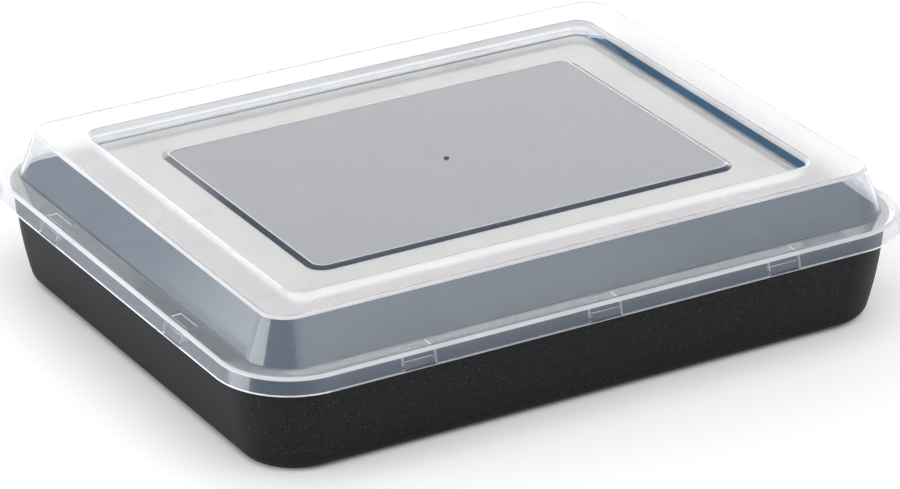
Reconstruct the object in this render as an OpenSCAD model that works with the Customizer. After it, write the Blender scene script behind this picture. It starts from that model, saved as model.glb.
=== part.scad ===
// Rectangular cake pan of pressed sheet steel, with a moulded translucent snap lid.
// Length along X, width along Y, up along Z.
// The origin is under the middle of the pan's base, where it stands.

/* [Pan] */
// Length over the rolled rim
rim_length = 353; // [260:1:420]
// Width over the rolled rim
rim_width = 279; // [200:1:340]
// Corner radius of the rolled rim, seen from above
rim_corner_r = 35; // [30:1:55]
// Height from the base to the top of the rim
pan_height = 52.5; // [35:0.5:80]
// Thickness of the steel sheet
sheet = 0.8; // [0.5:0.1:1.1]
// Outside diameter of the rolled rim
curl_d = 3; // [2.6:0.1:4]
// How far round the rim is rolled, in degrees
curl_turn = 270; // [200:5:290]
// Lean of the wall just under the rim, in degrees from upright
lean_top = 1.5; // [0:0.5:6]
// Lean of the wall just above the base edge, in degrees from upright
lean_foot = 15; // [8:0.5:16]
// Outside radius of the base edge
base_edge_r = 7.5; // [4:0.5:14]

/* [Lid skirt and flange] */
// Wall of the moulded lid
lid_wall = 1.2; // [0.8:0.1:1.4]
// Gap between the lid's flange and the top of the rim
seat_gap = 0.3; // [0.2:0.1:1]
// Gap between the rim and the inside of the skirt, at the flange
skirt_gap = 2.05; // [1.55:0.25:5.05]
// Depth of the skirt below the top of the flange
skirt_depth = 8.4; // [7.5:0.1:12]
// Lean of the skirt, which spreads downwards, in degrees
skirt_lean = 14.5; // [4:0.5:20]
// Corner radius of the skirt at its top, seen from above
skirt_corner_r = 36; // [30:1:55]
// Radius of the skirt's top edge
skirt_edge_r = 1.8; // [1.5:0.1:2.6]
// Width of the flange, from the skirt's top to the foot of the dome
flange_width = 10.15; // [8.15:0.5:14.15]

/* [Lid dome] */
// Height of the dome above the flange
dome_height = 22.4; // [12:0.2:40]
// Lean of the dome's wall, in degrees from upright
dome_lean = 19.4; // [5:0.2:24]
// Corner radius of the dome at its foot, seen from above
dome_corner_r = 21.5; // [18:0.5:28]
// Radius of the dome's top edge
dome_edge_r = 2.2; // [1.5:0.1:4]
// Radius in the corner between the flange and the dome
dome_foot_r = 0.8; // [0.4:0.1:1.6]
// Width of the flat frame along the top of the dome
frame_width = 20.6; // [12:0.2:32]
// Depth of the recess in the top
recess_depth = 6.7; // [4:0.1:9]
// Lean of the recess's wall, in degrees from upright
recess_lean = 23.4; // [5:0.2:30]
// Corner radius of the recess at its top, seen from above
recess_corner_r = 9; // [7:0.5:16]
// Radius of the recess's top edge
recess_edge_r = 1.6; // [1.5:0.1:2.4]
// Radius of the recess's bottom corner
recess_foot_r = 0.8; // [0.4:0.1:1.6]
// Width of the flat border around the raised panel
border_width = 23; // [14:0.5:34]
// Height of the raised panel above the border
panel_rise = 1.2; // [0.6:0.1:2.4]
// Width of the slope around the raised panel
panel_slope = 3.2; // [2.4:0.1:5]
// Corner radius of the raised panel at its foot, seen from above
panel_corner_r = 9; // [7:0.5:14]
// Diameter of the steam vent
vent_d = 2.4; // [1.4:0.1:4]
// Diameter of the dish around the steam vent
vent_dish_d = 4.6; // [4.2:0.1:7]
// Depth of the dish around the steam vent
vent_dish_depth = 0.4; // [0.2:0.1:0.6]

/* [Lid latches] */
// Length of each latch between its two ribs
latch_length = 16; // [10:0.5:26]
// Distance between neighbouring latches on a long side
long_side_pitch = 98; // [50:1:110]
// Distance between the two latches on a short side
short_side_pitch = 126; // [50:1:150]
// Gap between the rim's widest line and a latch's hook
hook_gap = 0.3; // [0.3:0.1:1]
// Gap between the underside of the rolled rim and a latch's hook
catch_gap = 0.7; // [0.3:0.1:1]
// Height of a hook's front face, which is also its thickness where it leaves the skirt
hook_nose = 0.9; // [0.4:0.1:1]
// Thickness of the ribs at the ends of each hook
rib_thickness = 0.8; // [0.6:0.1:1.4]
// How far the ribs stand in from the skirt
rib_depth = 1.2; // [0.6:0.1:1.4]
// Depth of the shallow panel in the flange above each hook
pocket_depth = 0.4; // [0.2:0.1:0.6]
// Flat strip left on both sides of that shallow panel
pocket_margin = 1; // [0.6:0.1:1.6]

/* [Hidden] */

pan_colour = [0.13, 0.135, 0.145];
lid_colour = [0.84, 0.87, 0.9, 0.5];

// Steps in the arcs of the sections, and around a full turn
arc_steps = 5;
wall_steps = 8;
curl_steps = 14;
$fn = 96;

// A cut runs this far past the surface that it opens
past = 1;
// The middle block of a form laps over the axes of its corners by this much
lap = 0.5;

// Levels from the base up
curl_z = pan_height - curl_d / 2;
flange_top = pan_height + seat_gap + lid_wall;
skirt_foot = flange_top - skirt_depth;
dome_top = flange_top + dome_height;
border_top = dome_top - recess_depth;
panel_top = border_top + panel_rise;

// Half length and half width of each outline
rim_half = [rim_length, rim_width] / 2;
skirt_half = rim_half + [1, 1] * (skirt_gap + lid_wall);
dome_foot_half = skirt_half - [1, 1] * flange_width;
dome_top_half = dome_foot_half - [1, 1] * dome_height * tan(dome_lean);
recess_half = dome_top_half - [1, 1] * frame_width;
border_half = recess_half - [1, 1] * recess_depth * tan(recess_lean);
panel_half = border_half - [1, 1] * border_width;

// Points along an arc, with the centre at [x, z] and angles from +x
function arc(x, z, r, from, to, steps) =
    [for (i = [0 : steps]) let (a = from + (to - from) * i / steps) [x + r * cos(a), z + r * sin(a)]];

// The arc that rounds the corner b of the path a, b, c with the radius r
function rounded(a, b, c, r) =
    let (u = (a - b) / norm(a - b), v = (c - b) / norm(c - b),
         half_angle = acos(u * v) / 2,
         centre = b + (u + v) / norm(u + v) * r / sin(half_angle),
         p = b + u * r / tan(half_angle) - centre,
         q = b + v * r / tan(half_angle) - centre,
         from = atan2(p.y, p.x),
         turn = (atan2(q.y, q.x) - from + 540) % 360 - 180)
    arc(centre.x, centre.y, r, from, from + turn, arc_steps);

// A section from its sharp corners, each given as [out, up, radius]
function section(path) =
    [for (i = [0 : len(path) - 1])
        each path[i].z == 0 ? [[path[i].x, path[i].y]] :
            rounded([path[i - 1].x, path[i - 1].y], [path[i].x, path[i].y],
                    [path[i + 1].x, path[i + 1].y], path[i].z)];

// A rectangular form with round corners. Its section starts and ends on the corners' axes,
// which stand corner_r inside the outline, and the middle is filled between those two ends.
module rounded_form(half, corner_r, outline) {
    axis_x = half.x - corner_r;
    axis_y = half.y - corner_r;
    low = outline[0].y;
    high = outline[len(outline) - 1].y;
    for (turn = [0, 180]) rotate(turn) {
        translate([axis_x, axis_y, 0]) rotate_extrude(angle = 90) polygon(outline);
        translate([-axis_x, axis_y, 0]) rotate(90) rotate_extrude(angle = 90) polygon(outline);
        translate([0, axis_y, 0]) rotate([90, 0, 90])
            linear_extrude(2 * axis_x, center = true) polygon(outline);
        translate([axis_x, 0, 0]) rotate([90, 0, 0])
            linear_extrude(2 * axis_y, center = true) polygon(outline);
    }
    translate([-axis_x - lap, -axis_y - lap, low])
        cube([2 * (axis_x + lap), 2 * (axis_y + lap), high - low]);
}

// The pan's sheet in section: flat base, base edge, bellied wall and rolled rim.
// All its arcs share their centres on both faces of the sheet.
function pan_section() =
    let (wall_rise = curl_z - base_edge_r * (1 - sin(lean_foot)),
         wall_r = wall_rise / (sin(lean_foot) - sin(lean_top)),
         wall_x = rim_corner_r - curl_d + sheet - wall_r * cos(lean_top),
         wall_z = curl_z + wall_r * sin(lean_top),
         edge_x = wall_x + (wall_r - base_edge_r) * cos(lean_foot),
         curl_x = rim_corner_r - curl_d / 2)
    concat([[0, 0]],
           arc(edge_x, base_edge_r, base_edge_r, -90, -lean_foot, arc_steps + 3),
           arc(wall_x, wall_z, wall_r, -lean_foot, -lean_top, wall_steps),
           arc(curl_x, curl_z, curl_d / 2 - sheet, 180, 180 - curl_turn, curl_steps),
           arc(curl_x, curl_z, curl_d / 2, 180 - curl_turn, 180, curl_steps),
           arc(wall_x, wall_z, wall_r - sheet, -lean_top, -lean_foot, wall_steps),
           arc(edge_x, base_edge_r, base_edge_r - sheet, -lean_foot, -90, arc_steps + 3),
           [[0, sheet]]);

module pan() {
    color(pan_colour) rounded_form(rim_half, rim_corner_r, pan_section());
}

// How far out the skirt's face lies at a height, t inside its outer surface
function skirt_face(z, t) = (flange_top - z) * tan(skirt_lean) - t / cos(skirt_lean);

// Skirt and flange, t inside the outer surface
function skirt_section(t) =
    let (foot = skirt_foot - (t > 0 ? past : 0), top = flange_top - t)
    section([[0, foot, 0],
             [skirt_corner_r + skirt_face(foot, t), foot, 0],
             [skirt_corner_r + skirt_face(top, t), top, skirt_edge_r - t],
             [0, top, 0]]);

// Dome, t inside the outer surface, with the small radius where it leaves the flange
function dome_section(t) =
    let (foot = flange_top - t, top = dome_top - t, sink = lid_wall / 2,
         wide = dome_corner_r + 3 * dome_foot_r,
         face = dome_corner_r - t / cos(dome_lean))
    section([[0, foot - sink, 0],
             [wide, foot - sink, 0],
             [wide, foot, 0],
             [face + t * tan(dome_lean), foot, dome_foot_r + t],
             [face - (dome_height - t) * tan(dome_lean), top, dome_edge_r - t],
             [0, top, 0]]);

// Recess in the top, t outside its surface
function recess_section(t) =
    let (foot = border_top - t, top = dome_top - t,
         face = recess_corner_r + t / cos(recess_lean),
         wide = recess_corner_r + 3 * recess_edge_r)
    section([[0, foot, 0],
             [face - (recess_depth + t) * tan(recess_lean), foot, recess_foot_r + t],
             [face - t * tan(recess_lean), top, recess_edge_r - t],
             [wide, top, 0],
             [wide, dome_top + past, 0],
             [0, dome_top + past, 0]]);

// Raised panel in the recess, t inside its surface
function panel_section(t) =
    let (slope = atan(panel_rise / panel_slope),
         foot_r = panel_corner_r + t / tan(slope) - t / sin(slope))
    section([[0, border_top - t - past, 0],
             [foot_r, border_top - t - past, 0],
             [foot_r, border_top - t, 0],
             [foot_r - panel_slope, panel_top - t, 0],
             [0, panel_top - t, 0]]);

// The whole lid as a solid, t inside its outer surface
module lid_form(t) {
    difference() {
        union() {
            rounded_form(skirt_half, skirt_corner_r, skirt_section(t));
            rounded_form(dome_foot_half, dome_corner_r, dome_section(t));
        }
        difference() {
            rounded_form(recess_half, recess_corner_r, recess_section(t));
            rounded_form(panel_half, panel_corner_r, panel_section(t));
        }
    }
}

// Places a thing at each latch, with X along the side and Y pointing out of the lid
module at_latches() {
    for (turn = [0, 180], k = [-1 : 1])
        rotate(turn) translate([k * long_side_pitch, skirt_half.y, 0]) children();
    for (turn = [-90, 90], k = [-0.5, 0.5])
        rotate(turn) translate([k * short_side_pitch, skirt_half.x, 0]) children();
}

// Extrudes a section of [out, up] points along a side of the lid
module along_side(length, outline) {
    rotate([90, 0, 90]) linear_extrude(length, center = true) polygon(outline);
}

// Slanted tongue that reaches up and in below the rolled rim, rooted in the middle of the skirt's wall
module hook() {
    tip = hook_gap - skirt_gap - lid_wall;
    top = pan_height - curl_d - catch_gap;
    low = skirt_foot + hook_nose;
    root = lid_wall / 2;
    along_side(latch_length + rib_thickness,
               [[skirt_face(low, root), low], [tip, top], [tip, top - hook_nose],
                [skirt_face(skirt_foot, lid_wall), skirt_foot],
                [skirt_face(skirt_foot, root), skirt_foot]]);
}

// Rib at each end of a hook, over the skirt's whole height
module ribs() {
    root = lid_wall / 2;
    deep = lid_wall + rib_depth;
    top = flange_top - root;
    for (side = [-1, 1]) translate([side * (latch_length + rib_thickness) / 2, 0, 0])
        along_side(rib_thickness,
                   [[skirt_face(top, deep), top], [skirt_face(skirt_foot, deep), skirt_foot],
                    [skirt_face(skirt_foot, root), skirt_foot], [skirt_face(top, root), top]]);
}

// Shallow panel sunk in the flange above a hook
module pocket() {
    out = skirt_edge_r + pocket_margin;
    in = flange_width - dome_foot_r - pocket_margin;
    translate([-latch_length / 2, -in, flange_top - pocket_depth])
        cube([latch_length, in - out, pocket_depth + past]);
}

// Steam vent through the middle of the raised panel, with a shallow dish around it
module vent() {
    translate([0, 0, panel_top - lid_wall - past]) cylinder(h = lid_wall + 2 * past, d = vent_d);
    translate([0, 0, panel_top - vent_dish_depth])
        cylinder(h = vent_dish_depth, d1 = vent_d, d2 = vent_dish_d);
}

module lid() {
    color(lid_colour) difference() {
        union() {
            difference() {
                lid_form(0);
                lid_form(lid_wall);
            }
            at_latches() {
                hook();
                ribs();
            }
        }
        at_latches() pocket();
        vent();
    }
}

pan();
lid();
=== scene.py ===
# %% [markdown]
# # A cake pan with its snap lid
#
# This lesson dresses one real object: a pressed steel cake pan, black and satin, closed by a
# thin moulded lid that light passes through. The solids, their sizes and the way the lid lifts
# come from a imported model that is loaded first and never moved. What is left for Blender is what
# the eye judges: edges that round softly, a coating with flecks in it, and plastic that is clear
# where it stands steep and milky where it lies flat.
#
# Run the cells from top to bottom. Every length is in metres in the scene. Sizes that a
# maker would give in millimetres are written so, and MM turns them.

# %% Load the frame
import math

import bmesh
import bpy
from mathutils import Matrix, Vector


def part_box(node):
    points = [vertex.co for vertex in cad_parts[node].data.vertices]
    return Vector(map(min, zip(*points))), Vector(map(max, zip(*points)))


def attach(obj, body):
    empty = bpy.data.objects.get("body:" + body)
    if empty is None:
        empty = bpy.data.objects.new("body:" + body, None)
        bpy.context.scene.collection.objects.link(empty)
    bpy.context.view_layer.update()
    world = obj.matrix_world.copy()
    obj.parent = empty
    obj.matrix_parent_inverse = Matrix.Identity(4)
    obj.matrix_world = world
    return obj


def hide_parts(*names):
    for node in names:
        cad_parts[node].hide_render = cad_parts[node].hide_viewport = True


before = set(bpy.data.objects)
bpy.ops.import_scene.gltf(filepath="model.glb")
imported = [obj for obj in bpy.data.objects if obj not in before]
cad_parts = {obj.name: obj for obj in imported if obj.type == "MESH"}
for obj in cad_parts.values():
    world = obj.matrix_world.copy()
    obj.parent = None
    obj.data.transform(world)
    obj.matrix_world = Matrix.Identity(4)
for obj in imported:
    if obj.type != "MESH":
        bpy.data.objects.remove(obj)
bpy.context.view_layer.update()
pan_low, pan_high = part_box("pan")
lid_low, lid_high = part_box("lid")
MM = 0.001
print("pan", [round(v / MM, 2) for v in pan_high - pan_low], "mm")
print("lid", [round(v / MM, 2) for v in lid_high - lid_low], "mm")

# %% [markdown]
# ## Sections first
#
# Both pieces are one idea done twice: a thin wall whose section stays the same while it runs
# round a rectangle with round corners. A pan is pressed and a lid is moulded that way, so it is
# also the honest way to draw them. You could model a quarter and mirror it, or bevel a
# box, but then each radius would be a guess by the modifier. Here the section is drawn first,
# from its sharp corners, and each corner is given its own radius.

# %% Section helpers
def arc(centre, radius, start, turn, steps):
    """Points on an arc as (out, up), from the angle start through turn, in radians."""
    angles = [start + turn * i / steps for i in range(steps + 1)]
    return [(centre[0] + radius * math.cos(a), centre[1] + radius * math.sin(a)) for a in angles]


def rounded(before, corner, after, radius, steps=8):
    """The arc that rounds one corner of a path, or the corner itself where radius is 0."""
    if radius == 0:
        return [(corner[0], corner[1])]
    here = Vector(corner[:2])
    back = (Vector(before[:2]) - here).normalized()
    on = (Vector(after[:2]) - here).normalized()
    half_angle = back.angle(on) / 2
    centre = here + (back + on).normalized() * radius / math.sin(half_angle)
    first = here + back * radius / math.tan(half_angle) - centre
    last = here + on * radius / math.tan(half_angle) - centre
    start = math.atan2(first.y, first.x)
    turn = (math.atan2(last.y, last.x) - start + 3 * math.pi) % (2 * math.pi) - math.pi
    return arc(centre, radius, start, turn, steps)


def section(path):
    """All points of a path of (out, up, radius). Its two ends only give a direction."""
    points = []
    for before, corner, after in zip(path, path[1:], path[2:]):
        points += rounded(before, corner, after, corner[2])
    return points


# %% [markdown]
# ## From a section to a shell
#
# A section point becomes a ring: it goes round the rectangle at its own height, with
# its own distance from the axis of each corner as the corner's radius. Rings with the same number
# of points can be joined by plain quads, and that holds from one form to the next, because the
# stretch between two forms is flat.

# %% Rings and shells
CORNER_STEPS = 22


def ring(axis, out, up):
    """One closed loop round the rectangle whose corners' axes stand at axis = (x, y)."""
    points = []
    for quarter, (sign_x, sign_y) in enumerate([(1, 1), (-1, 1), (-1, -1), (1, -1)]):
        for i in range(CORNER_STEPS + 1):
            angle = (quarter + i / CORNER_STEPS) * math.pi / 2
            points.append((sign_x * axis[0] + out * math.cos(angle),
                           sign_y * axis[1] + out * math.sin(angle), up))
    return points


def rings_of(axis, points):
    """The rings of one form, given in millimetres and made in metres."""
    return [ring([a * MM for a in axis], out * MM, up * MM) for out, up in points]


def shell(name, rings, closed):
    """Joins rings by quads. A closed shell runs back to its first ring, an open one gets two lids."""
    count = len(rings[0])
    verts = [point for loop in rings for point in loop]
    faces = []
    for k in range(len(rings) if closed else len(rings) - 1):
        this, above = k * count, (k + 1) % len(rings) * count
        for i in range(count):
            j = (i + 1) % count
            faces.append((this + i, this + j, above + j, above + i))
    if not closed:
        faces.append(tuple(reversed(range(count))))
        faces.append(tuple(range(len(verts) - count, len(verts))))
    mesh = bpy.data.meshes.new(name)
    mesh.from_pydata(verts, [], faces)
    piece = bpy.data.objects.new(name, mesh)
    bpy.context.scene.collection.objects.link(piece)
    cleaned = bmesh.new()
    cleaned.from_mesh(mesh)
    bmesh.ops.remove_doubles(cleaned, verts=cleaned.verts, dist=1e-7)
    bmesh.ops.recalc_face_normals(cleaned, faces=cleaned.faces)
    cleaned.to_mesh(mesh)
    cleaned.free()
    return piece


# %% [markdown]
# ## Smooth where it is round, flat where it is flat
#
# A rounded edge shades well only if the large flat face beside it keeps its own normal. The usual
# answer is used here: shade everything smooth, keep true corners sharp, and let a Weighted Normal
# modifier turn each shared normal towards the larger face.

# %% Shading helper
SHARP_ANGLE = math.radians(32)


def shade(piece):
    """Smooth shading with sharp corners kept, and normals led by the larger face."""
    piece.data.shade_smooth()
    piece.data.set_sharp_from_angle(angle=SHARP_ANGLE)
    weighted = piece.modifiers.new("weighted normals", "WEIGHTED_NORMAL")
    weighted.keep_sharp = True
    weighted.weight = 80


def report(piece):
    """Prints a piece's size in millimetres and its count of faces."""
    low = [min(v.co[i] for v in piece.data.vertices) / MM for i in range(3)]
    high = [max(v.co[i] for v in piece.data.vertices) / MM for i in range(3)]
    size = [round(b - a, 2) for a, b in zip(low, high)]
    print(piece.name, size, "mm,", len(piece.data.polygons), "faces")


# %% [markdown]
# ## The pan
#
# A blank of 0.8 mm steel is drawn over a punch in one stroke. The stroke leaves a flat base, a
# round base edge, a wall that bellies a little because the metal springs back, and then the rim
# is rolled outwards over the edge so that nobody cuts a finger. The section follows
# the outside of the sheet up the wall, turns through the inside of the roll, comes back over its
# outside and goes down the inner face.

# %% The pan's section
PAN_HEIGHT = pan_high.z / MM
RIM_HALF = (pan_high.x / MM, pan_high.y / MM)
RIM_CORNER = 35
SHEET = 0.8
CURL = 3
CURL_TURN = math.radians(270)
LEAN_TOP = math.radians(1.5)
LEAN_FOOT = math.radians(15)
BASE_EDGE = 7.5
FLAT_MARGIN = 1
EDGE_STEPS, WALL_STEPS, CURL_STEPS_INSIDE, CURL_STEPS_OUTSIDE = 14, 16, 24, 30


def pan_section():
    """The pan's sheet as a closed section, from the base's underside round to its upper side."""
    curl = (RIM_CORNER - CURL / 2, PAN_HEIGHT - CURL / 2)
    rise = curl[1] - BASE_EDGE * (1 - math.sin(LEAN_FOOT))
    belly = rise / (math.sin(LEAN_FOOT) - math.sin(LEAN_TOP))
    wall = (RIM_CORNER - CURL + SHEET - belly * math.cos(LEAN_TOP), curl[1] + belly * math.sin(LEAN_TOP))
    edge = (wall[0] + (belly - BASE_EDGE) * math.cos(LEAN_FOOT), BASE_EDGE)
    down, lean = -math.pi / 2, LEAN_FOOT - LEAN_TOP
    edge_turn = math.pi / 2 - LEAN_FOOT
    points = [(edge[0] - FLAT_MARGIN, 0)]
    points += arc(edge, BASE_EDGE, down, edge_turn, EDGE_STEPS)
    points += arc(wall, belly, -LEAN_FOOT, lean, WALL_STEPS)[1:]
    points += arc(curl, CURL / 2 - SHEET, math.pi, -CURL_TURN, CURL_STEPS_INSIDE)[1:]
    points += arc(curl, CURL / 2, math.pi - CURL_TURN, CURL_TURN, CURL_STEPS_OUTSIDE)
    points += arc(wall, belly - SHEET, -LEAN_TOP, -lean, WALL_STEPS)[1:]
    points += arc(edge, BASE_EDGE - SHEET, -LEAN_FOOT, -edge_turn, EDGE_STEPS)[1:]
    points += [(edge[0] - FLAT_MARGIN, SHEET)]
    return points


print("the pan's section has", len(pan_section()), "points")

# %% [markdown]
# The section is swept round the rim's rectangle. The ring at the base is closed by one flat face
# on each side of the sheet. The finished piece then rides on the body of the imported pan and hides
# the plain solid that it stands for.

# %% The pan as a piece
def make_pan():
    """Sweeps the pan's section round the rim's rectangle."""
    axis = [half - RIM_CORNER for half in RIM_HALF]
    piece = shell("coated_pan", rings_of(axis, pan_section()), closed=False)
    shade(piece)
    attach(piece, "pan")
    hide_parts("pan")
    return piece


pan = make_pan()
report(pan)

# %% [markdown]
# ## The lid
#
# The lid is one shot of polypropylene, 1.2 mm thick all over: a skirt that hangs over the
# rim, a flange that rests on it, a dome, a recess in the dome's top and a raised panel in the
# recess. A moulder keeps the wall even, so the inner face is the outer one moved in by the wall,
# and each inner radius is the outer one less the wall, or more in a hollow. Both
# faces are drawn here, because light bends at each of them. The bright lines along every edge
# are painted highlights, given by a milky finish further down.

# %% The lid's sizes
WALL = 1.2
RIM_GAP, SKIRT_GAP = 0.3, 2.05
RECESS_DEPTH, PANEL_RISE = 6.7, 1.2
FLANGE_TOP = PAN_HEIGHT + RIM_GAP + WALL
DOME_TOP = lid_high.z / MM
BORDER_TOP = DOME_TOP - RECESS_DEPTH
PANEL_TOP = BORDER_TOP + PANEL_RISE
SKIRT_FOOT = lid_low.z / MM
SKIRT_LEAN = math.radians(14.5)
DOME_LEAN = math.radians(19.4)
RECESS_LEAN = math.radians(23.4)
SKIRT_CORNER, DOME_CORNER, RECESS_CORNER, PANEL_CORNER = 36, 21.5, 9, 9
FLANGE_WIDTH, FRAME_WIDTH, BORDER_WIDTH, PANEL_SLOPE = 10.15, 20.6, 23, 3.2
SKIRT_HALF = [half + SKIRT_GAP + WALL for half in RIM_HALF]
DOME_FOOT_HALF = [half - FLANGE_WIDTH for half in SKIRT_HALF]
DOME_TOP_HALF = [half - (DOME_TOP - FLANGE_TOP) * math.tan(DOME_LEAN) for half in DOME_FOOT_HALF]
RECESS_HALF = [half - FRAME_WIDTH for half in DOME_TOP_HALF]
BORDER_HALF = [half - (DOME_TOP - BORDER_TOP) * math.tan(RECESS_LEAN) for half in RECESS_HALF]
PANEL_HALF = [half - BORDER_WIDTH for half in BORDER_HALF]
print("panel", [round(2 * half, 2) for half in PANEL_HALF], "mm inside a recess of",
      [round(2 * half, 2) for half in RECESS_HALF], "mm")

# %% [markdown]
# Each form gives its corners as (out, up, radius), measured from the axis of its own round
# corners. The same function draws the outer face with an inset of 0 and the inner face with an
# inset of one wall. A radius that bulges out shrinks by the inset, one in a hollow grows. AWAY is
# how far off the helper points lie that only give each path its first and last direction.

# %% The lid's faces
SKIRT_EDGE, DOME_EDGE, RECESS_EDGE, PANEL_EDGE, FOOT_EDGE = 1.8, 2.2, 1.6, 0.5, 0.35
HOLLOW = 0.8
# How far down the recess the milky lip runs: its pale strip is a painted highlight.
PAINTED_LIP_DEPTH = 2.6
AWAY = 5


def skirt_out(up, inset):
    """How far out the skirt's face lies at a height, inset inside its outer surface."""
    return SKIRT_CORNER + (FLANGE_TOP - up) * math.tan(SKIRT_LEAN) - inset / math.cos(SKIRT_LEAN)


def skirt_path(inset):
    """Foot and top edge of the skirt."""
    return [(SKIRT_CORNER - AWAY, SKIRT_FOOT, 0),
            (skirt_out(SKIRT_FOOT, inset), SKIRT_FOOT, FOOT_EDGE),
            (skirt_out(FLANGE_TOP - inset, inset), FLANGE_TOP - inset, SKIRT_EDGE - inset),
            (SKIRT_CORNER - AWAY, FLANGE_TOP - inset, 0)]


def dome_path(inset):
    """Foot of the dome on the flange, and the dome's top edge."""
    face = DOME_CORNER - inset / math.cos(DOME_LEAN)
    rise = DOME_TOP - FLANGE_TOP - inset
    return [(DOME_CORNER + AWAY, FLANGE_TOP - inset, 0),
            (face + inset * math.tan(DOME_LEAN), FLANGE_TOP - inset, HOLLOW + inset),
            (face - rise * math.tan(DOME_LEAN), DOME_TOP - inset, DOME_EDGE - inset),
            (face - rise * math.tan(DOME_LEAN) - AWAY, DOME_TOP - inset, 0)]


def recess_path(inset):
    """Top edge of the recess, the line where its pale lip, a painted highlight strip, ends, and the corner at
    its bottom.
    """
    face = RECESS_CORNER + inset / math.cos(RECESS_LEAN)
    depth = DOME_TOP - BORDER_TOP + inset
    return [(face + AWAY, DOME_TOP - inset, 0),
            (face - inset * math.tan(RECESS_LEAN), DOME_TOP - inset, RECESS_EDGE - inset),
            (face - PAINTED_LIP_DEPTH * math.tan(RECESS_LEAN), DOME_TOP - PAINTED_LIP_DEPTH, 0),
            (face - depth * math.tan(RECESS_LEAN), BORDER_TOP - inset, HOLLOW + inset),
            (face - depth * math.tan(RECESS_LEAN) - AWAY, BORDER_TOP - inset, 0)]


def panel_path(inset):
    """Foot and top of the slope around the raised panel."""
    slope = math.atan((PANEL_TOP - BORDER_TOP) / PANEL_SLOPE)
    foot = PANEL_CORNER + inset / math.tan(slope) - inset / math.sin(slope)
    return [(foot + AWAY, BORDER_TOP - inset, 0),
            (foot, BORDER_TOP - inset, PANEL_EDGE + inset),
            (foot - PANEL_SLOPE, PANEL_TOP - inset, PANEL_EDGE + WALL - inset),
            (foot - PANEL_SLOPE - AWAY, PANEL_TOP - inset, 0)]


def lid_face(inset):
    """The rings of one face of the lid, from the skirt's foot to the raised panel."""
    forms = [(SKIRT_HALF, SKIRT_CORNER, skirt_path), (DOME_FOOT_HALF, DOME_CORNER, dome_path),
             (RECESS_HALF, RECESS_CORNER, recess_path), (PANEL_HALF, PANEL_CORNER, panel_path)]
    rings = []
    for halves, corner, path in forms:
        axis = [half - corner for half in halves]
        rings += rings_of(axis, section(path(inset)))
    return rings


print("each face of the lid has", len(lid_face(0)), "rings")

# %% [markdown]
# The outer face runs from the skirt's foot to the panel, the vent leads through the wall, and the
# inner face runs back. Joined ring by ring they close into one shell with an even wall.

# %% The lid's shell
VENT, VENT_DISH, VENT_DISH_DEPTH = 2.4, 4.6, 0.4


def make_lid_shell():
    """Outer face, steam vent and inner face, closed at the skirt's foot."""
    vent = [(VENT_DISH / 2, PANEL_TOP), (VENT / 2, PANEL_TOP - VENT_DISH_DEPTH),
            (VENT / 2, PANEL_TOP - WALL)]
    rings = lid_face(0) + rings_of((0, 0), vent) + lid_face(WALL)[::-1]
    return shell("snap_lid", rings, closed=True)


lid = make_lid_shell()
report(lid)

# %% [markdown]
# ## Ten latches
#
# The skirt snaps over the rolled rim at ten places: three on each long side, two on each
# short one. Each latch is a sloped bar that catches below the rim, with a thin rib at each
# end that stiffens the skirt, and a shallow panel in the flange above it. They are moulded with
# the lid, so they are joined to its mesh by booleans and not laid against it: an inner face left
# behind would show as a grey film in clear plastic.

# %% Latch helpers
LATCH_LENGTH, RIB, RIB_DEPTH = 16, 0.8, 1.2
LONG_PITCH, SHORT_PITCH = 98, 126
HOOK_GAP, CATCH_GAP, HOOK_NOSE = 0.3, 0.7, 0.9
POCKET_DEPTH, POCKET_SIDE, POCKET_MARGIN, POCKET_OVER = 0.4, 0.4, 1, 1
SOFTENED = 0.12


def skirt_at(up, inset):
    """The skirt's face at a height, measured out from its top edge."""
    return skirt_out(up, inset) - SKIRT_CORNER


def latch_places():
    """One matrix for each latch, with X along the side and Y pointing out of the lid."""
    places = []
    for turn in (0, 180):
        places += [(turn, k * LONG_PITCH, SKIRT_HALF[1]) for k in (-1, 0, 1)]
    for turn in (-90, 90):
        places += [(turn, k * SHORT_PITCH, SKIRT_HALF[0]) for k in (-0.5, 0.5)]
    return [Matrix.Rotation(math.radians(turn), 4, "Z") @ Matrix.Translation((along * MM, out * MM, 0))
            for turn, along, out in places]


def prisms(name, outline, spans):
    """A mesh of the outline, extruded over each span along every latch. Edges are softened.
    Each point of the outline is (out, up, reach), and reach makes the prism longer at both ends."""
    mesh = bpy.data.meshes.new(name)
    built = bmesh.new()
    for place in latch_places():
        for start, end in spans:
            ends = [[built.verts.new(place @ Vector(((along + side * reach) * MM, out * MM, up * MM)))
                     for out, up, reach in outline] for along, side in ((start, -1), (end, 1))]
            built.faces.new(ends[0][::-1])
            built.faces.new(ends[1])
            for i in range(len(outline)):
                j = (i + 1) % len(outline)
                built.faces.new((ends[0][i], ends[0][j], ends[1][j], ends[1][i]))
    bmesh.ops.recalc_face_normals(built, faces=built.faces)
    bmesh.ops.bevel(built, geom=built.edges[:], offset=SOFTENED * MM, segments=2, profile=0.5,
                    affect="EDGES", clamp_overlap=True)
    built.to_mesh(mesh)
    built.free()
    piece = bpy.data.objects.new(name, mesh)
    bpy.context.scene.collection.objects.link(piece)
    return piece


def combine(piece, tool, operation):
    """Runs one boolean, keeps its result as the piece's mesh and removes the tool."""
    modifier = piece.modifiers.new(operation, "BOOLEAN")
    modifier.operation = operation
    modifier.solver = "MANIFOLD"
    modifier.object = tool
    graph = bpy.context.evaluated_depsgraph_get()
    result = bpy.data.meshes.new_from_object(piece.evaluated_get(graph))
    piece.modifiers.remove(modifier)
    piece.data = result
    bpy.data.objects.remove(tool)


print(len(latch_places()), "latches")

# %% [markdown]
# The outlines come next, each rooted in the middle of the wall so that nothing lies face to face
# when it is joined. The catch stops just outside the rim's widest line. The pocket's sides lean
# outwards, as they must for the lid to leave its mould.

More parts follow.
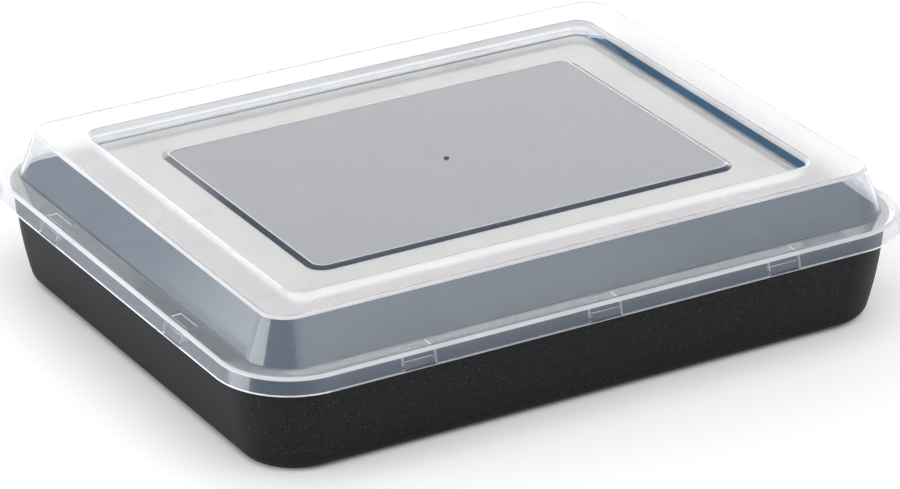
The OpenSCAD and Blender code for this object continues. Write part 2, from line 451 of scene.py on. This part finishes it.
# %% Latches on the lid
def hook_outline():
    """The slanted tongue under the rim, rooted in the middle of the skirt's wall."""
    tip = HOOK_GAP - SKIRT_GAP - WALL
    top = PAN_HEIGHT - CURL - CATCH_GAP
    root, low = WALL / 2, SKIRT_FOOT + HOOK_NOSE
    return [(skirt_at(low, root), low, 0), (tip, top, 0), (tip, top - HOOK_NOSE, 0),
            (skirt_at(SKIRT_FOOT, WALL), SKIRT_FOOT, 0), (skirt_at(SKIRT_FOOT, root), SKIRT_FOOT, 0)]


def rib_outline():
    """A rib over the skirt's whole height."""
    root, deep, top = WALL / 2, WALL + RIB_DEPTH, FLANGE_TOP - WALL / 2
    return [(skirt_at(top, deep), top, 0), (skirt_at(SKIRT_FOOT, deep), SKIRT_FOOT, 0),
            (skirt_at(SKIRT_FOOT, root), SKIRT_FOOT, 0), (skirt_at(top, root), top, 0)]


def pocket_outline():
    """The shallow panel sunk in the flange, with sloped sides that free it from the mould."""
    near, far = -SKIRT_EDGE - POCKET_MARGIN, -FLANGE_WIDTH + HOLLOW + POCKET_MARGIN
    low, high = FLANGE_TOP - POCKET_DEPTH, FLANGE_TOP + POCKET_OVER
    slope = POCKET_SIDE * (1 + POCKET_OVER / POCKET_DEPTH)
    return [(far + POCKET_SIDE, low, -POCKET_SIDE), (near - POCKET_SIDE, low, -POCKET_SIDE),
            (near - POCKET_SIDE + slope, high, slope - POCKET_SIDE),
            (far + POCKET_SIDE - slope, high, slope - POCKET_SIDE)]


latch_half = (LATCH_LENGTH + RIB) / 2
rib_spans = [(side * latch_half - RIB / 2, side * latch_half + RIB / 2) for side in (-1, 1)]
combine(lid, prisms("hooks", hook_outline(), [(-latch_half, latch_half)]), "UNION")
combine(lid, prisms("ribs", rib_outline(), rib_spans), "UNION")
combine(lid, prisms("pockets", pocket_outline(), [(-LATCH_LENGTH / 2, LATCH_LENGTH / 2)]), "DIFFERENCE")
lid.data.name = "snap_lid"
shade(lid)
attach(lid, "lid")
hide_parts("lid")
report(lid)

# %% [markdown]
# ## Colours and nodes
#
# Colours are written as the hex values a painter would pick on a screen, and one function turns
# them to the linear values that the renderer works in. One more function adds a node with its
# settings and its links, so that each material below reads like a recipe.

# %% Colour and node helpers
def hex_colour(text):
    """Linear RGBA of an sRGB hex value such as #1C1D20."""
    parts = [int(text[i:i + 2], 16) / 255 for i in (1, 3, 5)]
    return [p / 12.92 if p <= 0.04045 else ((p + 0.055) / 1.055) ** 2.4 for p in parts] + [1.0]


def add_node(tree, kind, settings=None, links=None):
    """Adds a node. settings sets its properties and sockets, links names what feeds its sockets."""
    node = tree.nodes.new(kind)
    for name, value in (settings or {}).items():
        if isinstance(name, str) and hasattr(node, name):
            setattr(node, name, value)
        else:
            node.inputs[name].default_value = value
    for name, source in (links or {}).items():
        tree.links.new(source, node.inputs[name])
    return node


def new_material(name):
    """An empty node material, and its tree."""
    material = bpy.data.materials.new(name)
    material.use_nodes = True
    material.node_tree.nodes.clear()
    return material, material.node_tree


# %% [markdown]
# ## Non-stick coating on steel
#
# The coating is sprayed on as a wet film and baked. It cures to a satin black with a very
# slight orange peel, and pale mineral flecks are mixed in so that scratches don't show. To the
# eye it is nearly black, with a soft sheen at a low angle and a fine pale speckle from close by.
# Real flecks are fractions of a millimetre. Here they stand on a grid of 1.5 mm, coarser than
# life, or they would vanish between two pixels.
#
# A texture of cells gives each fleck a place, and a random value per cell gives it a size. Noise
# alone would give clouds and no flecks. The roughness of about 0.47 is that of a satin paint.

# %% Coated steel
PEEL_SIZE, GRAIN_SIZE, FLECK_CELL = 1.4, 0.9, 1.5
LARGEST_FLECK, FLECK_SOFTNESS, FLECK_STRENGTH = 0.32, 0.2, 0.3
PEEL_DEPTH = 0.05
GROUND = [(0.42, "#0A0B0D"), (0.72, "#2A2B31")]
FLECK_COLOUR = "#85878C"


def coated_steel():
    """Sprayed and baked satin coating with pale flecks."""
    material, tree = new_material("satin_black_non_stick_coating")
    place = add_node(tree, "ShaderNodeTexCoord").outputs["Object"]
    peel = add_node(tree, "ShaderNodeTexNoise", {"Scale": 1 / (PEEL_SIZE * MM), "Detail": 2.0},
                    {"Vector": place})
    grain = add_node(tree, "ShaderNodeTexNoise",
                     {"Scale": 1 / (GRAIN_SIZE * MM), "Detail": 3.0, "Roughness": 0.7}, {"Vector": place})
    cells = add_node(tree, "ShaderNodeTexVoronoi", {"Scale": 1 / (FLECK_CELL * MM)}, {"Vector": place})
    chance = add_node(tree, "ShaderNodeSeparateColor", {}, {"Color": cells.outputs["Color"]})
    # One cell in ten stays bare, and the others hold flecks of all sizes up to the largest.
    size = add_node(tree, "ShaderNodeMapRange", {"From Min": 0.1, "To Max": LARGEST_FLECK},
                    {"Value": chance.outputs["Red"]})
    inside = add_node(tree, "ShaderNodeMath", {"operation": "SUBTRACT"},
                      {0: size.outputs["Result"], 1: cells.outputs["Distance"]})
    fleck = add_node(tree, "ShaderNodeMapRange", {"From Max": FLECK_SOFTNESS, "To Max": FLECK_STRENGTH},
                     {"Value": inside.outputs["Value"]})
    ground = add_node(tree, "ShaderNodeValToRGB", {}, {"Fac": grain.outputs["Fac"]})
    for element, (position, colour) in zip(ground.color_ramp.elements, GROUND):
        element.position = position
        element.color = hex_colour(colour)
    speckled = add_node(tree, "ShaderNodeMix", {"data_type": "RGBA", 7: hex_colour(FLECK_COLOUR)},
                        {0: fleck.outputs["Result"], 6: ground.outputs["Color"]})
    rough = add_node(tree, "ShaderNodeMapRange", {"To Min": 0.4, "To Max": 0.54},
                     {"Value": grain.outputs["Fac"]})
    bump = add_node(tree, "ShaderNodeBump", {"Strength": 0.12, "Distance": PEEL_DEPTH * MM},
                    {"Height": peel.outputs["Fac"]})
    surface = add_node(tree, "ShaderNodeBsdfPrincipled", {"IOR": 1.5, "Specular IOR Level": 0.25},
                       {"Base Color": speckled.outputs[2], "Roughness": rough.outputs["Result"],
                        "Normal": bump.outputs["Normal"]})
    add_node(tree, "ShaderNodeOutputMaterial", {}, {"Surface": surface.outputs["BSDF"]})
    return material


pan.data.materials.append(coated_steel())
print(pan.name, "is finished in", pan.data.materials[0].name)

# %% [markdown]
# ## Polypropylene
#
# Polypropylene is a milky clear plastic: crystals far smaller than a hair scatter a little of
# the light, the blue part most, and the rest passes. A mould's finish is printed on the part too.
# The walls were drawn from polished steel and stay clear, while the flat faces came from satin
# steel and scatter more. So one recipe is enough, with the haze as its main setting.
#
# The recipe adds two layers. The clear one bends and mirrors light, with the IOR of 1.49 that
# this plastic has. The milk is what the crystals send back to the side where the light came from
# and on to the side behind. Scattering inside the solid would be truer, but it needs many more
# samples to come out clean. The Principled node tints light by the root of its colour at each
# face, so the share that should pass is squared.
#
# Rays that look for a lamp can't be bent, so for them the plastic counts as nearly clear glass.
# A moulding is never quite even, so the haze and the roughness drift a little over centimetres.

# %% Moulded polypropylene
FLOW_SIZE = 30
CLOUDINESS, ROUGHNESS_SPREAD = 0.15, 0.3


def shade_of(colour, share):
    """A colour times a share, as linear RGBA."""
    return [channel * share for channel in colour[:3]] + [1.0]


def polypropylene(name, haze, tint, roughness, through=0.35, taken=0.0, gloss=0.5):
    """Moulded polypropylene. Each face scatters haze times the tint and lets the rest pass,
    but for the share that is taken. through is the part of the haze lit from behind the face."""
    scattered = shade_of(hex_colour(tint), haze)
    least = min(scattered[:3])
    passing = [((1 - (channel + least) / 2) * (1 - taken)) ** 2 for channel in scattered[:3]] + [1.0]
    material, tree = new_material(name)
    place = add_node(tree, "ShaderNodeTexCoord").outputs["Object"]
    flow = add_node(tree, "ShaderNodeTexNoise", {"Scale": 1 / (FLOW_SIZE * MM), "Detail": 3.0},
                    {"Vector": place})
    smoothest, roughest = roughness * (1 - ROUGHNESS_SPREAD), roughness * (1 + ROUGHNESS_SPREAD)
    rough = add_node(tree, "ShaderNodeMapRange", {"To Min": smoothest, "To Max": roughest},
                     {"Value": flow.outputs["Fac"]})
    cloud = add_node(tree, "ShaderNodeMix",
                     {"data_type": "RGBA", 6: shade_of(scattered, 1 - CLOUDINESS),
                      7: shade_of(scattered, 1 + CLOUDINESS)}, {0: flow.outputs["Fac"]})
    clear = add_node(tree, "ShaderNodeBsdfPrincipled",
                     {"Base Color": passing, "IOR": 1.49, "Transmission Weight": 1.0,
                      "Specular IOR Level": gloss}, {"Roughness": rough.outputs["Result"]})
    back = add_node(tree, "ShaderNodeBsdfDiffuse", {}, {"Color": cloud.outputs[2]})
    onward = add_node(tree, "ShaderNodeBsdfTranslucent", {}, {"Color": cloud.outputs[2]})
    milk = add_node(tree, "ShaderNodeMixShader", {0: through},
                    {1: back.outputs["BSDF"], 2: onward.outputs["BSDF"]})
    plastic = add_node(tree, "ShaderNodeAddShader", {},
                       {0: clear.outputs["BSDF"], 1: milk.outputs["Shader"]})
    lamp_light = add_node(tree, "ShaderNodeBsdfTransparent", {"Color": hex_colour("#F8F9FA")})
    path = add_node(tree, "ShaderNodeLightPath")
    surface = add_node(tree, "ShaderNodeMixShader", {},
                       {0: path.outputs["Is Shadow Ray"], 1: plastic.outputs["Shader"],
                        2: lamp_light.outputs["BSDF"]})
    add_node(tree, "ShaderNodeOutputMaterial", {}, {"Surface": surface.outputs["Shader"]})
    return material


# %% [markdown]
# ## One moulding, many finishes
#
# All of these are the same plastic. What differs is how thick it stands in the line of sight
# and how the mould was finished there, so each kind of face gets its own haze. At bent edges and
# ribs the white lines are painted highlights, drawn by a milky finish on those faces. Over the
# dark pan a blue haze shows as slate, and over a white table it hardly shows. Splitting the lid
# into pieces would give the same picture, but a lid is one moulding, so the faces of one mesh
# choose their material by height, slope and distance from each outline.

# %% Finishes
FINISHES = [
    # Steep walls from a polished mould: slate over the dark pan, faint grey over white.
    polypropylene("clear_polypropylene_dome", 0.125, "#BFD8F3", 0.04, taken=0.02),
    # The recess's short side walls show the deepest blue. Most of their haze is lit from behind.
    polypropylene("clear_polypropylene_recess", 0.15, "#8CC6F6", 0.04, through=0.6),
    # The skirt hangs in front of the coated rim and looks a little smoky.
    polypropylene("hazy_polypropylene_skirt", 0.165, "#A4B8D0", 0.05, taken=0.1),
    # The flat frame comes from satin steel and carries most of the lid's milkiness.
    polypropylene("satin_polypropylene_frame", 0.26, "#F8F4F8", 0.1, through=0.3, taken=0.06),
    # The border is duller still and a little warmer, an even pale field round the panel.
    polypropylene("satin_polypropylene_border", 0.275, "#F2F0EE", 0.14, through=0.2, gloss=0.25),
    # The panel is polished: it mirrors the back softbox over the dark inside of the pan.
    polypropylene("polished_polypropylene_panel", 0.06, "#A9B8E8", 0.04, through=0.1, taken=0.1),
    # The flange lies flat above the rolled rim and reads as a pale grey ledge.
    polypropylene("polished_polypropylene_flange", 0.18, "#D8DEE8", 0.05, taken=0.08),
    # Bent edges are thick in the line of sight; the white lines round each form are painted highlights that
    # this milky finish draws.
    polypropylene("milky_polypropylene_painted_edge_highlights", 0.74, "#F8F8FC", 0.05, through=0.2, taken=0.4),
    # Ribs stand on end to the eye; their two thin white strokes at each latch are painted highlights that
    # this milky finish draws.
    polypropylene("milky_polypropylene_painted_rib_highlights", 0.8, "#F2F5FA", 0.05),
    # The catches are thick and clear, and only their outline should show.
    polypropylene("clear_polypropylene_tongues", 0.02, "#C9D6F6", 0.05, taken=0.3),
    # The slope round the panel faces a dark part of the room and frames the panel.
    polypropylene("clear_polypropylene_slopes", 0.08, "#BFD8F3", 0.05)]
DOME, RECESS, SKIRT, FRAME, BORDER, PANEL, FLANGE, EDGE_HIGHLIGHT, RIB_HIGHLIGHT, TONGUE, SLOPE = range(len(FINISHES))
print(len(FINISHES), "finishes of one plastic")

# %% [markdown]
# ## Which face gets which finish
#
# A face knows its centre and its normal, and that is enough: the height tells the skirt from the
# dome, the normal tells a flat from a wall, and the distance inside each outline tells frame,
# border and panel apart. Painting faces by hand would look the same, but would be lost as soon as
# a size changes.
#
# Two kinds of limits are named first: how far a normal points along one axis, and how far a
# face's centre may lie, in millimetres, from the form that it belongs to.

# %% Limits and distances
LEVEL, NEARLY_LEVEL, STEEP, END_ON = 0.98, 0.86, 0.4, 0.9
SLACK, NEAR, PANEL_LINE, FILLET, CLEAR, FOOT_LINE = 0.1, 0.3, 0.35, 0.4, 0.5, 0.6
PANEL_FOOT_BAND, DOME_FOOT_BAND, LATCH_REACH, SIDE_BAND = 1, 2, 4, 8
TOP_EDGE_DEPTH, TOP_EDGE_WIDTH = 1.9, 2.2
WELL_BELOW = 2


def inset_of(point, half, corner):
    """How far a point lies inside the outline of a round-cornered rectangle, in millimetres."""
    beyond = [abs(point[i]) / MM - (half[i] - corner) for i in range(2)]
    if min(beyond) > 0:
        return corner - math.hypot(*beyond)
    return corner - max(beyond)


# %% [markdown]
# The lid's top and its rim are judged apart. On top the order matters: the frame and the bent
# line round the panel are told before the other flats, and what is left are edges, slopes and
# walls. At the rim, what stands inside the skirt belongs to a latch: its narrow inner face is a
# rib and the rest is a catch.

# %% Finishes by face
def top_finish(up, normal, from_panel, from_recess, near_vent):
    """The finish of a face on the dome's top, in the recess or on the panel."""
    if near_vent:
        return PANEL
    if abs(normal.z) > NEARLY_LEVEL and up > DOME_TOP - WALL - NEAR:
        return FRAME
    # The bent line round the panel takes the milky finish, a painted highlight.
    if abs(from_panel - PANEL_SLOPE) < PANEL_LINE and up > PANEL_TOP - NEAR:
        return EDGE_HIGHLIGHT
    on_fillet = abs(up - BORDER_TOP) < FILLET and from_panel < PANEL_FOOT_BAND
    if abs(normal.z) > LEVEL or on_fillet:
        return PANEL if from_panel > PANEL_SLOPE / 2 else BORDER
    # The recess's top lip takes the milky finish, a painted highlight strip.
    if up > DOME_TOP - PAINTED_LIP_DEPTH:
        return EDGE_HIGHLIGHT
    if from_panel > -PANEL_FOOT_BAND:
        return SLOPE
    return RECESS if from_recess > -WALL - FOOT_LINE and abs(normal.x) > STEEP else DOME


def rim_finish(up, face, from_skirt, from_dome):
    """The finish of a face on the skirt, its ribs and tongues, or the flange."""
    on_long_side = abs(face.center.y) / MM > SKIRT_HALF[1] - SIDE_BAND
    along = abs(face.normal.x if on_long_side else face.normal.y)
    depth = from_skirt + (FLANGE_TOP - up) * math.tan(SKIRT_LEAN)
    inside = up < FLANGE_TOP - WALL and from_skirt < LATCH_REACH
    at_rib = abs(depth - WALL - RIB_DEPTH) < FILLET and abs(face.normal.z) < STEEP
    # A rib's narrow inner face takes the milky finish, a painted highlight stroke.
    if inside and at_rib and along < END_ON:
        return RIB_HIGHLIGHT
    if inside and (depth > WALL + NEAR or along > END_ON):
        return TONGUE
    # The skirt's foot and top edge take the milky finish, a painted highlight line.
    if up < SKIRT_FOOT + FOOT_LINE:
        return EDGE_HIGHLIGHT
    if FLANGE_TOP - TOP_EDGE_DEPTH < up < FLANGE_TOP and from_skirt < TOP_EDGE_WIDTH:
        return EDGE_HIGHLIGHT
    if up > FLANGE_TOP - WALL - SLACK:
        return FLANGE if abs(face.normal.z) > LEVEL or from_dome > -DOME_FOOT_BAND else EDGE_HIGHLIGHT
    return SKIRT


def finish_of(face):
    """The finish of one face, from its height, its slope and how far in it lies."""
    up = face.center.z / MM
    from_skirt = inset_of(face.center, SKIRT_HALF, SKIRT_CORNER)
    from_dome = inset_of(face.center, DOME_FOOT_HALF, DOME_CORNER)
    from_recess = inset_of(face.center, RECESS_HALF, RECESS_CORNER)
    from_panel = inset_of(face.center, PANEL_HALF, PANEL_CORNER)
    if up < FLANGE_TOP + CLEAR and from_dome < DOME_FOOT_BAND:
        return rim_finish(up, face, from_skirt, from_dome)
    below = BORDER_TOP - WALL - up
    if below > CLEAR and from_recess < 0 or below > WELL_BELOW:
        return DOME
    near_vent = max(abs(face.center.x), abs(face.center.y)) / MM < VENT_DISH
    return top_finish(up, face.normal, from_panel, from_recess, near_vent)


lid.data.materials.clear()
for finish in FINISHES:
    lid.data.materials.append(finish)
for face in lid.data.polygons:
    face.material_index = finish_of(face)
for index, finish in enumerate(FINISHES):
    print(finish.name, sum(face.material_index == index for face in lid.data.polygons), "faces")

# %% [markdown]
# ## The camera
#
# The view is from in front and to the left, a little above, through a long lens: the sides of the
# pan hardly converge. The place and the turns were fitted to the lid's straight edges in the
# photograph, with the focal length in pixels of a picture 900 wide.

# %% Camera
CAMERA_PLACE = (-1.0896, -1.8538, 1.0286)
CAMERA_PITCH, CAMERA_YAW = 64.99, -30.49
SENSOR_MM, IMAGE_WIDTH, FOCAL_PIXELS = 36, 900, 4946
camera = bpy.data.objects.new("camera", bpy.data.cameras.new("camera"))
camera.location = CAMERA_PLACE
camera.rotation_euler = (math.radians(CAMERA_PITCH), 0, math.radians(CAMERA_YAW))
camera.data.sensor_width = SENSOR_MM
camera.data.lens = FOCAL_PIXELS * SENSOR_MM / IMAGE_WIDTH
camera.data.clip_end = 50
bpy.context.scene.collection.objects.link(camera)
bpy.context.scene.camera = camera
print("lens", round(camera.data.lens, 1), "mm,", round(camera.location.length, 2), "m from the pan's middle")

# %% [markdown]
# ## A white table that keeps its shadow
#
# A product photograph is taken on a white sweep, and its far part is lifted to pure white. Here
# the table's paint takes the lamps' light and the shadow, and a glow that lights nothing else
# lifts it to white. Seen directly, the glow is 0 where the pan's foot rests, a painted shade that
# keeps the line of contact dark, and it grows again far out, a painted light that narrows the
# shadow. Seen through the lid, it is one plain level. You could light the table more instead, but
# then the pan and the lid would be too bright.
#
# The first helper tells a ray that still belongs to the picture from one that has met a dull
# surface. The second measures how far a floor point lies from the pan's foot, so that the painted
# dark line follows the foot round its corners.

# %% Floor helpers
FOOT_INSET, FOOT_CORNER = 16, 26
FOOT_HALF = [half - FOOT_INSET for half in RIM_HALF]


def direct_rays(tree):
    """1 for a ray that has met only mirrors and clear plastic so far, 0 after a dull bounce."""
    bounces = add_node(tree, "ShaderNodeLightPath").outputs["Diffuse Depth"]
    return add_node(tree, "ShaderNodeMath", {"operation": "LESS_THAN", 1: 0.5}, {0: bounces}).outputs["Value"]


def from_foot(tree):
    """Distance of a floor point from a rounded rectangle close to the pan's foot, in metres."""
    place = add_node(tree, "ShaderNodeNewGeometry").outputs["Position"]
    axis = [(half - FOOT_CORNER) * MM for half in FOOT_HALF] + [0]
    mirrored = add_node(tree, "ShaderNodeVectorMath", {"operation": "ABSOLUTE"}, {0: place})
    corner = add_node(tree, "ShaderNodeVectorMath", {"operation": "SUBTRACT", 1: axis},
                      {0: mirrored.outputs["Vector"]})
    outside = add_node(tree, "ShaderNodeVectorMath", {"operation": "MAXIMUM", 1: (0, 0, 0)},
                       {0: corner.outputs["Vector"]})
    length = add_node(tree, "ShaderNodeVectorMath", {"operation": "LENGTH"}, {0: outside.outputs["Vector"]})
    return add_node(tree, "ShaderNodeMath", {"operation": "SUBTRACT", 1: FOOT_CORNER * MM},
                    {0: length.outputs["Value"]}).outputs["Value"]


# %% [markdown]
# The paint is a matt off-white, and its tone comes from the lamps. The glow rises over the
# first millimetres from the foot, which paints the shade along the line of contact, and once more
# from 6 cm out to the far white, which paints light that narrows the shadow.

# %% Floor
FLOOR_REACH, FLOOR_DROP = 6.0, 0.1 * MM
# The glow held back near the foot is a painted shade along the line of contact, and the far ramp is a painted
# light that narrows the shadow.
PAINTED_CONTACT_SHADE = {"From Min": 1.5 * MM, "From Max": 9 * MM, "To Max": 0.24}
PAINTED_FAR_LIGHT = {"From Min": 0.06, "From Max": 0.8, "To Max": 0.5}
THROUGH_LID = 0.28


def floor_glow_with_painted_shade(tree):
    """How strongly the floor glows: by distance for the camera, painting shade at the foot and light far out,
    and evenly for what the lid lets through.
    """
    path = add_node(tree, "ShaderNodeLightPath")
    away = from_foot(tree)
    painted_shade_ramp = add_node(tree, "ShaderNodeMapRange", {"interpolation_type": "SMOOTHSTEP", **PAINTED_CONTACT_SHADE},
                       {"Value": away})
    beyond = add_node(tree, "ShaderNodeMapRange", PAINTED_FAR_LIGHT, {"Value": away})
    total = add_node(tree, "ShaderNodeMath", {"operation": "ADD"},
                     {0: painted_shade_ramp.outputs["Result"], 1: beyond.outputs["Result"]})
    bare = add_node(tree, "ShaderNodeMath", {"operation": "MULTIPLY"},
                    {0: path.outputs["Is Camera Ray"], 1: total.outputs["Value"]})
    share = add_node(tree, "ShaderNodeMath", {"operation": "MULTIPLY_ADD", 1: THROUGH_LID},
                     {0: path.outputs["Is Transmission Ray"], 2: bare.outputs["Value"]})
    return add_node(tree, "ShaderNodeMath", {"operation": "MULTIPLY"},
                    {0: direct_rays(tree), 1: share.outputs["Value"]}).outputs["Value"]


def studio_floor():
    """Matt off-white paint with the glow on top, which carries the painted shade at the foot."""
    material, tree = new_material("pale_studio_floor")
    paint = add_node(tree, "ShaderNodeBsdfDiffuse", {"Color": hex_colour("#F6F6F6")})
    glow = add_node(tree, "ShaderNodeEmission", {"Color": hex_colour("#FFFFFF")},
                    {"Strength": floor_glow_with_painted_shade(tree)})
    both = add_node(tree, "ShaderNodeAddShader", {}, {0: paint.outputs["BSDF"], 1: glow.outputs["Emission"]})
    add_node(tree, "ShaderNodeOutputMaterial", {}, {"Surface": both.outputs["Shader"]})
    return material


def make_floor():
    """A pale table top, wider than any view of the pan."""
    mesh = bpy.data.meshes.new("floor")
    signs = [(-1, -1), (1, -1), (1, 1), (-1, 1)]
    corners = [(x * FLOOR_REACH, y * FLOOR_REACH, -FLOOR_DROP) for x, y in signs]
    mesh.from_pydata(corners, [], [(0, 1, 2, 3)])
    floor = bpy.data.objects.new("floor", mesh)
    bpy.context.scene.collection.objects.link(floor)
    mesh.materials.append(studio_floor())
    return floor


floor = make_floor()
print(floor.name, "reaches", FLOOR_REACH, "m each way")

# %% [markdown]
# ## The room
#
# Clear and polished plastic is drawn by what it mirrors, so the room matters more than the lamps.
# The camera itself sees plain white. Mirrors and clear plastic see a room that is white on the
# right and dark on the left and overhead, so that each wall of the lid gets its own tone. Dull
# surfaces get a soft even fill. One white sky for all three would wash out every edge of the lid.
#
# Each ramp below is a list of (direction, level). A direction of -1 is full left or straight
# down, and 1 is full right or straight up.

# %% World
ROOM_ACROSS = [(-1, 0.08), (-0.45, 0.08), (0.1, 0.5), (0.4, 1.0), (1, 1.0)]
ROOM_UPWARD = [(-0.1, 1.0), (0.45, 1.0), (0.6, 0.12), (1, 0.08)]
FILL_UPWARD = [(-1, 0.4), (0.0, 0.4), (1, 0.5)]


def sky_ramp(tree, part, stops):
    """A grey ramp over one part of the direction, which runs from -1 to 1."""
    place = add_node(tree, "ShaderNodeMapRange", {"From Min": -1.0}, {"Value": part})
    ramp = add_node(tree, "ShaderNodeValToRGB", {}, {"Fac": place.outputs["Result"]})
    while len(ramp.color_ramp.elements) < len(stops):
        ramp.color_ramp.elements.new(0.5)
    for element, (value, level) in zip(ramp.color_ramp.elements, stops):
        element.position = (value + 1) / 2
        element.color = (level, level, level, 1)
    return ramp.outputs["Color"]


def make_world():
    """An even fill for dull surfaces, a room with a pale right side for mirrors, white behind."""
    world = bpy.data.worlds.new("studio")
    world.use_nodes = True
    bpy.context.scene.world = world
    tree = world.node_tree
    tree.nodes.clear()
    direction = add_node(tree, "ShaderNodeTexCoord").outputs["Generated"]
    parts = add_node(tree, "ShaderNodeSeparateXYZ", {}, {"Vector": direction})
    across = sky_ramp(tree, parts.outputs["X"], ROOM_ACROSS)
    upward = sky_ramp(tree, parts.outputs["Z"], ROOM_UPWARD)
    room_level = add_node(tree, "ShaderNodeMix", {"data_type": "RGBA", "blend_type": "MULTIPLY", 0: 1.0},
                          {6: across, 7: upward}).outputs[2]
    fill_level = sky_ramp(tree, parts.outputs["Z"], FILL_UPWARD)
    fill = add_node(tree, "ShaderNodeBackground", {}, {"Color": fill_level})
    room = add_node(tree, "ShaderNodeBackground", {}, {"Color": room_level})
    white = add_node(tree, "ShaderNodeBackground", {"Color": hex_colour("#FFFFFF")})
    mirrored = add_node(tree, "ShaderNodeMixShader", {},
                        {0: direct_rays(tree), 1: fill.outputs["Background"], 2: room.outputs["Background"]})
    path = add_node(tree, "ShaderNodeLightPath")
    seen = add_node(tree, "ShaderNodeMixShader", {},
                    {0: path.outputs["Is Camera Ray"], 1: mirrored.outputs["Shader"],
                     2: white.outputs["Background"]})
    add_node(tree, "ShaderNodeOutputWorld", {}, {"Surface": seen.outputs["Shader"]})
    return world


print("world", make_world().name)

# %% [markdown]
# ## The lamps
#
# A large softbox overhead gives the soft shadow on the table, and the floor's painted glow
# deepens it at the foot and narrows it far out. The one behind is the lamp that the
# flats of the lid mirror, and its brightness sets the tone of the panel. The small one close on
# the left draws the light streaks on the near corner, and its neighbour brightens the left wall
# of the dome. The one in front lifts the front walls. All are described by their radiance, which
# is what a mirror shows of them. The cloth of a softbox is dimmer towards its edges, and without
# that each lamp would be mirrored in the lid as a hard-edged window.

# %% Softboxes
def soft_front(light, soft):
    """Lets a lamp's light fall off over the outer share of its face that soft gives."""
    light.use_nodes = True
    tree = light.node_tree
    tree.nodes.clear()
    place = add_node(tree, "ShaderNodeNewGeometry").outputs["Parametric"]
    centred = add_node(tree, "ShaderNodeVectorMath", {"operation": "SUBTRACT", 1: (0.5, 0.5, 0)}, {0: place})
    mirrored = add_node(tree, "ShaderNodeVectorMath", {"operation": "ABSOLUTE"},
                        {0: centred.outputs["Vector"]})
    parts = add_node(tree, "ShaderNodeSeparateXYZ", {}, {"Vector": mirrored.outputs["Vector"]})
    out = add_node(tree, "ShaderNodeMath", {"operation": "MAXIMUM"},
                   {0: parts.outputs["X"], 1: parts.outputs["Y"]})
    level = add_node(tree, "ShaderNodeMapRange",
                     {"interpolation_type": "SMOOTHSTEP", "From Min": 0.5, "From Max": 0.5 - soft / 2},
                     {"Value": out.outputs["Value"]})
    glow = add_node(tree, "ShaderNodeEmission", {}, {"Strength": level.outputs["Result"]})
    add_node(tree, "ShaderNodeOutputLight", {}, {"Surface": glow.outputs["Emission"]})


def softbox(name, place, aim, size, radiance, soft=0.3):
    """A rectangular cloth-fronted lamp at place, turned to aim. Its power follows from its radiance."""
    light = bpy.data.lights.new(name, "AREA")
    light.shape = "RECTANGLE"
    light.size, light.size_y = size
    light.energy = radiance * math.pi * size[0] * size[1]
    soft_front(light, soft)
    lamp = bpy.data.objects.new(name, light)
    lamp.location = place
    lamp.rotation_euler = (Vector(aim) - Vector(place)).to_track_quat("-Z", "Y").to_euler()
    lamp.visible_camera = False
    bpy.context.scene.collection.objects.link(lamp)
    print(name, "gives", round(light.energy, 2), "W")


# %% [markdown]
# Each lamp is given by its name, its place, what it aims at, its size and its radiance. Places
# and sizes are in metres.

# %% Lamps
softbox("overhead_softbox", (-0.05, -0.55, 1.55), (-0.05, -0.55, 0), (1.9, 1.9), 1.3)
softbox("back_softbox", (0.4, 1.3, 0.65), (0.4, 0, 0.2), (2.8, 0.62), 1.15, soft=0.1)
softbox("left_softbox", (-0.62, 0.04, 0.1), (0, 0.04, 0.1), (0.43, 0.28), 3.7, soft=0.1)
softbox("left_back_softbox", (-0.62, 0.42, 0.02), (0, 0.42, 0.02), (0.46, 0.3), 1.3, soft=0.8)
softbox("front_softbox", (0.45, -1.25, 0.4), (0.25, 0, 0.1), (1.6, 0.4), 0.6, soft=0.3)

# %% [markdown]
# ## Plain colours
#
# The Standard view shows each colour as it is written. The other choices bend the tones to save
# highlights, which helps an outdoor picture and spoils a product picture.

# %% View settings
bpy.context.scene.view_settings.view_transform = "Standard"
